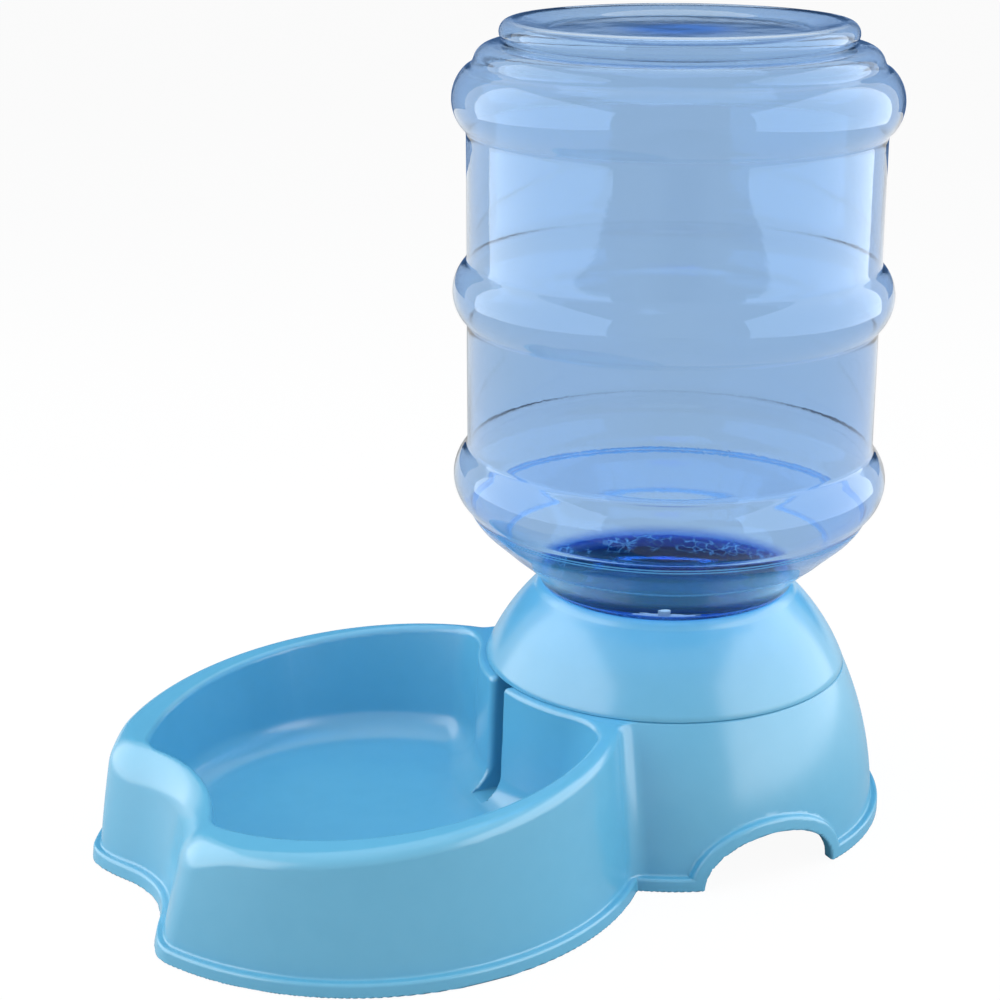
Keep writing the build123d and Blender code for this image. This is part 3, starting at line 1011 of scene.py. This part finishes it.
    def grid(self) -> list[Array]:
        """The grid's planes, with finer rows at the flange and the seam."""
        across = np.arange(-104.5, 105.0, self.cell)
        along = np.arange(-231.5, 87.5, self.cell)
        low = np.arange(-1.2, 7.2, self.fine_cell)
        middle = np.arange(7.4, 58.0, self.cell)
        high = np.arange(middle[-1] + self.fine_cell, 61.5, self.fine_cell)
        return [across, along, np.concatenate([low, middle, high])]

    def build(self) -> bpy.types.Object:
        """Nets the solid, thins the mesh where it is flat and sets its true normals."""
        points, quads = surface_net(self.solid, self.grid())
        points = settled(self.solid, points, 3)
        dense = new_mesh("base_dense", points, [quads])
        log.info("base: %d quads before thinning", len(quads))
        thin = dense.modifiers.new("thin", "DECIMATE")
        thin.ratio = min(1.0, self.most_triangles / (2 * len(quads)))
        graph = bpy.context.evaluated_depsgraph_get()
        mesh = bpy.data.meshes.new_from_object(dense.evaluated_get(graph))
        flat = np.empty(len(mesh.vertices) * 3, np.float32)
        mesh.vertices.foreach_get("co", flat)
        rows = flat.reshape(-1, 3).astype(float) / MM - (0.0, TOWER_Y, 0.0)
        mesh.calc_loop_triangles()
        corners = np.empty(len(mesh.loop_triangles) * 3, np.int32)
        mesh.loop_triangles.foreach_get("vertices", corners)
        bpy.data.objects.remove(dense)
        rows = settled(self.solid, rows, 2, 0.2)
        return new_mesh("moulded_base", rows, [corners.reshape(-1, 3)], self.normals)

    def normals(self, points: Array) -> Array:
        """Unit normals: the solid's slope, which points out of the plastic."""
        steep = slope(self.solid, points)
        return steep / np.maximum(np.linalg.norm(steep, axis=1, keepdims=True), 1e-9)

    def dress(self, material: bpy.types.Material) -> bpy.types.Object:
        """Builds the moulding and puts it in place of the CAD base.

        Args:
            material: the blue plastic.

        Returns:
            The piece.
        """
        piece = self.build()
        piece.data.materials.append(material)
        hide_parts("base")
        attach(piece, Body.BASE.value)
        return piece


@dataclass
class Collar:
    """The domed cone on the tower: a turned shell with a rounded lip, and a plug below."""

    seam_r: float = 69.4
    seam_z: float = 59.6
    mid_r: float = 62.6
    mid_z: float = 73.0
    band_r: float = 52.2
    band_z: float = 86.0
    top_z: float = 91.0
    bore_r: float = 46.2
    lip_round: float = 1.6
    lip_curve: tuple = ((2.6, 3.2), (1.2, 1.2), (0.0, 0.2))
    foot_round: float = 0.5
    wall: float = 2.6
    plug_out: float = 61.2
    plug_in: float = 59.2
    plug_h: float = 8.0
    bead_drop: float = 5.0
    bead_half: float = 0.8
    gate_half: float = 5.3
    columns: int = 288

    def shell_profile(self) -> Array:
        """Closed outline of the dome: from its foot up the outside, over the lip, back inside."""
        low = self.top_z - self.lip_round
        corner = self.lip_round * (1 - np.sqrt(0.5))
        rim = self.bore_r + self.lip_round
        outer = arc(
            (self.seam_r, self.seam_z + self.foot_round),
            (self.mid_r, self.mid_z),
            (self.band_r, self.band_z),
        )
        lip_out = arc(*[(rim + out, self.top_z - down) for out, down in self.lip_curve])
        lip_in = arc(
            (rim - 0.6, self.top_z),
            (self.bore_r + corner, self.top_z - corner),
            (self.bore_r, low),
        )
        inside = arc(
            (self.bore_r, self.top_z - 6.0),
            (self.mid_r - 1.22 * self.wall, self.mid_z),
            (self.seam_r - 2 * self.wall, self.seam_z + self.wall),
        )
        foot = [
            (self.plug_in, self.seam_z + self.wall),
            (self.plug_in, self.seam_z),
            (self.seam_r - self.foot_round, self.seam_z),
        ]
        edge = arc(
            (self.seam_r - self.foot_round, self.seam_z),
            (self.seam_r - 0.15, self.seam_z + 0.15),
            (self.seam_r, self.seam_z + self.foot_round),
        )
        upper = softened(joined(outer, lip_out, lip_in, inside), 0.5)
        corner_line = thinned(joined(edge, step=0.1), 1.0, 25.0)
        return np.concatenate([thinned(upper, 3.0, 5.0), foot, corner_line[:-1]])

    def plug(self) -> bpy.types.Object:
        """The ring that snaps into the well, cut away where the gate is.

        A rectangle of (radius, height) is carried round the axis from one jamb to the other,
        and its two ends are closed.
        """
        half = np.arcsin(self.gate_half / self.plug_out)
        angle = np.linspace(half, TAU - half, self.columns) - np.pi / 2
        low = self.seam_z - self.plug_h
        bead = self.seam_z - self.bead_drop
        section = np.array(
            [
                (self.plug_out, self.seam_z + 0.6),
                (self.plug_in, self.seam_z + 0.6),
                (self.plug_in, low + 0.3),
                (self.plug_in + 0.3, low),
                (self.plug_out - 0.3, low),
                (self.plug_out, low + 0.3),
                (self.plug_out, bead - self.bead_half),
                (self.plug_out + 0.5, bead),
                (self.plug_out, bead + self.bead_half),
            ]
        )
        radius, height = section[:, :1], section[:, 1:]
        level = np.repeat(height, len(angle), 1)
        points = np.stack([radius * np.cos(angle), radius * np.sin(angle), level], 2)
        rows, count = len(section), len(angle)
        start = (np.arange(rows) * count)[None, ::-1]
        end = (np.arange(rows) * count + count - 1)[None, :]
        sides = lattice(rows, count, join_rows=True)
        return new_mesh("collar_plug", points.reshape(-1, 3), [sides, start, end])

    def dress(self, material: bpy.types.Material) -> list[bpy.types.Object]:
        """Builds the dome and its plug in place of the CAD collar.

        Args:
            material: the blue plastic.

        Returns:
            The two pieces.
        """
        dome = turned("collar_dome", self.shell_profile(), self.columns, loop=True)
        plug = self.plug()
        for piece in (dome, plug):
            smooth_by_angle(piece, 40)
            piece.data.materials.append(material)
            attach(piece, Body.BASE.value)
        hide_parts("collar")
        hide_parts("collar")
        return [dome, plug]


@dataclass
class Bottle:
    """The blown bottle, upside down: one closed wall turned from its outside and inside lines."""

    body_r: float = 76.2
    bulge_out: float = 5.3
    bulge_half: float = 11.5
    bulges: tuple = (133.5, 204.0, 274.3)
    lip_z: float = 61.3
    finish_r: float = 41.0
    finish_top: float = 78.3
    finish_wall: float = 2.2
    neck_r: float = 44.9
    seat_r: float = 48.4
    seat_z: float = 91.3
    top_z: float = 301.8
    recess: float = 3.0
    ring_out: float = 0.35
    wall: float = 0.8
    end_r: float = 58.0
    end_ring: tuple = ((64.4, 297.4), (61.8, 294.0))
    end_step: tuple = ((61.8, 294.0), (65.0, 293.8))
    shoulder: tuple = ((66.0, 293.7), (71.4, 292.1), (73.4, 289.0))
    shoulder_foot: tuple = ((73.6, 288.4), (74.2, 287.1))
    cone_z: float = 122.0
    cone_top: tuple = ((73.6, 117.2), (69.8, 113.0))
    cone_foot: tuple = ((53.8, 99.0), (50.6, 95.5))
    thread_rise: float = 6.0
    thread_turns: float = 1.25
    thread_r: float = 1.3
    columns: int = 208

    def outline(self) -> Array:
        """The outside from the recess's middle down to the mouth, as measured rings."""
        floor = self.top_z - self.recess
        crest = (self.end_r, self.top_z)
        end = [
            [(0.0, floor + 0.2), (24.0, floor), (46.0, floor)],
            arc((47.0, floor), (51.0, self.top_z - self.recess / 2), crest),
            arc(crest, *self.end_ring),
            self.end_step,
            arc(*self.shoulder),
            arc(*self.shoulder_foot, (self.body_r, self.bulges[2] + self.bulge_half)),
        ]
        side = []
        for z in reversed(self.bulges):
            high = (self.body_r, z + self.bulge_half)
            low = (self.body_r, z - self.bulge_half)
            side.append(arc(high, (self.body_r + self.bulge_out, z), low))
        foot = [
            arc((self.body_r, self.cone_z), *self.cone_top),
            [
                (62.2, 106.2),
                (62.0, 106.2 - self.ring_out),
                (61.2, 105.6 - self.ring_out),
                self.cone_foot[0],
            ],
            arc(*self.cone_foot, (self.seat_r, self.seat_z)),
            arc((self.seat_r, self.seat_z), (45.95, 90.2), (self.neck_r, 87.8)),
            [
                (self.neck_r, self.finish_top),
                (self.finish_r, self.finish_top),
                (self.finish_r, self.lip_z),
            ],
        ]
        return softened(joined(*end, *side, *foot), 0.7)

    def wall_profile(self) -> Array:
        """Inside and outside as one line from the top's middle, round the mouth's lip, and back.

        The inside is the outside moved along its own normal by the wall, which grows to the
        finish's wall at the threads.
        """
        outside = self.outline()
        lean = np.gradient(outside, axis=0)
        lean /= np.linalg.norm(lean, axis=1, keepdims=True)
        inward = np.stack([lean[:, 1], -lean[:, 0]], 1)
        height = outside[:, 1]
        share = np.clip((self.seat_z - height) / (self.seat_z - self.finish_top), 0, 1)
        wall = self.wall + (self.finish_wall - self.wall) * share
        inside = outside + inward * wall[:, None]
        inside[:, 0] = np.maximum(inside[:, 0], 0)
        keep = inside[:, 1] > self.lip_z + 0.3
        inside = softened(joined(inside[keep]), 1.0)
        inside[0, 0] = 0.0
        lip = joined(outside[-1], (self.finish_r - self.finish_wall, self.lip_z), inside[-1])
        out = thinned(outside, 3.2, 6.0)
        back = thinned(inside[::-1], 3.2, 6.0)
        return np.concatenate([out, thinned(lip, 1.5, 30.0)[1:-1], back])[::-1]

    @staticmethod
    def waviness(radius: Array, angle: Array, height: Array) -> Array:
        """Slow unevenness of a blown wall: a sum of sines of angle and height, under 0.15 mm."""
        slow = 0.07 * np.sin(3 * angle + 0.7 + height / 34) * np.sin(height / 21 + 1.1)
        quick = 0.035 * np.sin(11 * angle + height / 17) * np.sin(height / 9.0 + 0.4)
        body = np.clip((height - 100) / 10, 0, 1) * np.clip((radius - 30) / 20, 0, 1)
        return (slow + quick) * body

    def dress(self, material: bpy.types.Material) -> list[bpy.types.Object]:
        """Builds the bottle and its thread in place of the CAD bottle.

        Args:
            material: the clear plastic.

        Returns:
            The pieces.
        """
        shell = turned("clear_shell", self.wall_profile(), self.columns, self.waviness)
        smooth_by_angle(shell, 50)
        thread = self.thread()
        for piece in (shell, thread):
            piece.data.materials.append(material)
            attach(piece, Body.BOTTLE.value)
            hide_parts("bottle")
        return [shell, thread]

    def thread(self) -> bpy.types.Object:
        """The finish's one bead: a half-round section carried up a helix, run out at both ends."""
        count, around = 160, 12
        turn = np.linspace(0, self.thread_turns * TAU, count)[:, None]
        fade = np.clip(np.minimum(turn, turn[-1] - turn) / 0.25, 0.02, 1) ** 0.5
        ring = np.arange(around) * TAU / around
        radius = self.finish_r + 0.2 + self.thread_r * fade * np.cos(ring)
        climb = self.lip_z + 4.0 + self.thread_rise * turn / TAU
        height = climb + self.thread_r * fade * np.sin(ring)
        points = np.stack([radius * np.cos(turn), radius * np.sin(turn), height], 2)
        sides = lattice(count, around, join_columns=True)
        start = np.arange(around)[None, :]
        end = ((count - 1) * around + np.arange(around))[None, ::-1]
        return new_mesh("neck_thread", points.reshape(-1, 3), [sides, start, end])


@dataclass
class Valve:
    """Cap, gasket, plunger, spring and post: CAD nodes that keep their shape and get a finish."""

    def dress(self, materials: dict[Slot, bpy.types.Material]) -> list[bpy.types.Object]:
        """Gives each CAD node its material.

        Args:
            materials: the finished materials by slot.

        Returns:
            The dressed nodes.
        """
        finishes = {
            "valve_cap": Slot.CAP_PLASTIC,
            "cap_gasket": Slot.SEAL_RUBBER,
            "valve_stem": Slot.WHITE_PLASTIC,
            "valve_seal": Slot.SEAL_RUBBER,
            "valve_spring": Slot.SPRING_STEEL,
            "spring_cage": Slot.WHITE_PLASTIC,
            "lift_post": Slot.BLUE_PLASTIC,
        }
        dressed = []
        for name, slot in finishes.items():
            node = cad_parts[name]
            node.data.materials.clear()
            node.data.materials.append(materials[slot])
            dressed.append(node)
        return dressed


# Studio


@dataclass
class Studio:
    """Pale floor, white world, a blue card behind, two tall softboxes beside the object, one above.

    Lengths are metres and powers are watts; the floor and the card glow only for some rays.
    """

    floor_half: float = 4.0
    fill: float = 0.16
    side_power: float = 15.0
    top_power: float = 12.5
    aside: float = 0.85
    glow: float = 1.05
    glow_share: float = 0.9
    paper_low: tuple = linear(198, 200, 202)
    paper_high: tuple = linear(202, 204, 205)
    beside: tuple = (0.1, 0.4)
    card_glow: float = 0.4
    card_colour: tuple = (0.2, 0.45, 1.0, 1.0)
    card_back: float = 1.4
    card_size: float = 1.3
    box_back: float = 0.3
    box_height: float = 0.35
    box_size: tuple = (1.75, 1.5)
    top_height: float = 1.5
    top_size: tuple = (1.3, 1.3)

    def floor(self, side: Array) -> None:
        """A flat sheet a hair under the object, which the camera sees as nearly white.

        Args:
            side: unit vector to the picture's left; the sheet glows in reflections beside it.
        """
        reach = self.floor_half / MM
        steps = np.linspace(-reach, reach, 9)
        x, y = np.meshgrid(steps, steps, indexing="ij")
        points = np.stack([x, y, np.full_like(x, -0.05)], 2).reshape(-1, 3)
        sheet = new_mesh("studio_floor", points, [lattice(len(steps), len(steps))])
        graph = Graph("floor_paper")
        cloud = graph.noise(3.0)
        paper = graph.mix(cloud.step(0.3, 0.7), self.paper_low, self.paper_high)
        matt = graph.principled(Base_Color=paper, Roughness=0.7, Specular_IOR_Level=0.1)
        glow = graph.glow(WHITE, self.glow)
        x, y, _ = graph.parts(graph.place())
        across = x * side[0] + (y - TOWER_Y * MM) * side[1]
        far = (across * across).root().step(*self.beside)
        seen = self.seen(graph).larger(graph.ray("Is Glossy Ray") * far)
        sheet.data.materials.append(graph.finish(graph.blend(seen * self.glow_share, matt, glow)))

    @staticmethod
    def seen(graph: Graph) -> Value:
        """1 for rays from the camera and through glass, else 0."""
        return graph.ray("Is Camera Ray").larger(graph.ray("Is Transmission Ray"))

    def world(self) -> None:
        """White to the camera, gloss and glass, and a plain grey fill for the rest."""
        graph = Graph("studio_world", world=True)
        seen = self.seen(graph).larger(graph.ray("Is Glossy Ray"))
        inputs = {"Color": WHITE, "Strength": seen.span(self.fill, 1.0)}
        bpy.context.scene.world = graph.finish(graph.node("ShaderNodeBackground", inputs=inputs))

    def card(self, middle: Array, side: Array) -> None:
        """A blue card behind the object that glows dimly and is seen only in reflections, a painted
        reflection: middle + side u, up v.

        Args:
            middle: its middle on the floor.
            side: the unit vector along it.
        """
        along = np.linspace(-self.card_size, self.card_size, 7)
        up = np.linspace(0.01, self.card_size, 5)
        u, v = np.meshgrid(along, up, indexing="ij")
        flat = middle + side * u.reshape(-1, 1)
        points = np.column_stack([flat, v.ravel()]) / MM - (0.0, TOWER_Y, 0.0)
        board = new_mesh("reflection_card", points, [lattice(len(along), len(up))])
        graph = Graph("blue_reflection_glow")
        # Painted reflection: a dim blue glow that only glossy rays see, so reflections of what lies
        # behind the object come out darker and bluer than the white world.
        board.data.materials.append(graph.finish(graph.glow(self.card_colour, self.card_glow)))
        board.visible_camera = board.visible_diffuse = board.visible_transmission = False
        board.visible_shadow = board.visible_volume_scatter = False

    @staticmethod
    def softbox(
        name: str, centre: tuple, aim: tuple, size: tuple, power: float
    ) -> bpy.types.Object:
        """A rectangular lamp.

        Args:
            name: its name.
            centre: its place in metres.
            aim: the point it faces.
            size: width and height in metres.
            power: watts.

        Returns:
            The lamp.
        """
        lamp = bpy.data.lights.new(name, "AREA")
        lamp.shape = "RECTANGLE"
        lamp.size, lamp.size_y = size
        lamp.energy = power
        made = bpy.data.objects.new(name, lamp)
        direction = Vector(aim) - Vector(centre)
        made.rotation_euler = direction.to_track_quat("-Z", "Y").to_euler()
        made.location = centre
        made.visible_camera = False
        bpy.context.scene.collection.objects.link(made)
        return made

    def build(self, camera: "PhotoCamera") -> None:
        """Sets up floor, world and lamps around the camera's own direction.

        Args:
            camera: the photograph's camera.
        """
        middle = np.array((0.0, 0.02))
        back = -np.array(camera.heading)
        side = np.array((back[1], -back[0]))
        self.floor(side)
        self.world()
        self.card(middle - back * self.card_back, side)
        aim = middle + back * self.box_back
        for name, sign in (("softbox_left", 1.0), ("softbox_right", -1.0)):
            spot = aim + side * sign * self.aside
            ends = ((*spot, self.box_height), (*aim, self.box_height))
            self.softbox(name, *ends, self.box_size, self.side_power)
        ends = ((*middle, self.top_height), (*middle, 0.0))
        top = self.softbox("softbox_top", *ends, self.top_size, self.top_power)
        top.visible_glossy = False


@dataclass
class PhotoCamera:
    """The camera that took the picture, solved from the object's rings."""

    place: tuple = (0.68124, -0.33410, 0.3795)
    heading: tuple = (-0.8993, 0.4374)
    pitch: float = 18.097
    lens: float = 78.12

    def build(self) -> None:
        """Creates the camera and makes it the scene's."""
        data = bpy.data.cameras.new("photo_camera")
        data.lens = self.lens
        data.sensor_width = 36.0
        data.clip_end = 50.0
        made = bpy.data.objects.new("photo_camera", data)
        down = np.radians(self.pitch)
        flat = Vector((*self.heading, 0.0)).normalized()
        look = flat * np.cos(down) - Vector((0, 0, 1)) * np.sin(down)
        right = look.cross(Vector((0, 0, 1))).normalized()
        up = right.cross(look)
        turn = Matrix((right, up, -look)).transposed().to_4x4()
        made.matrix_world = Matrix.Translation(Vector(self.place)) @ turn
        bpy.context.scene.collection.objects.link(made)
        bpy.context.scene.camera = made


def main() -> None:
    """Builds the waterer and its studio, and reports each piece."""
    logging.basicConfig(level=logging.INFO, format="%(name)s: %(message)s")
    scene = bpy.context.scene
    scene.view_settings.view_transform = "Standard"
    camera = PhotoCamera()
    camera.build()
    finishes = {
        Slot.BLUE_PLASTIC: BLUE_PLASTIC,
        Slot.CLEAR_BOTTLE: CLEAR_BOTTLE,
        Slot.CAP_PLASTIC: CAP_PLASTIC,
        Slot.WHITE_PLASTIC: WHITE_PLASTIC,
        Slot.SEAL_RUBBER: SEAL_RUBBER,
        Slot.SPRING_STEEL: SPRING_STEEL,
    }
    materials = {slot: finish.material() for slot, finish in finishes.items()}
    pieces = [Base().dress(materials[Slot.BLUE_PLASTIC])]
    pieces += Collar().dress(materials[Slot.BLUE_PLASTIC])
    pieces += Bottle().dress(materials[Slot.CLEAR_BOTTLE])
    pieces += Valve().dress(materials)
    for piece in pieces:
        log.info("%s: %d faces", piece.name, len(piece.data.polygons))
    Studio().build(camera)


if __name__ == "__main__":
    main()
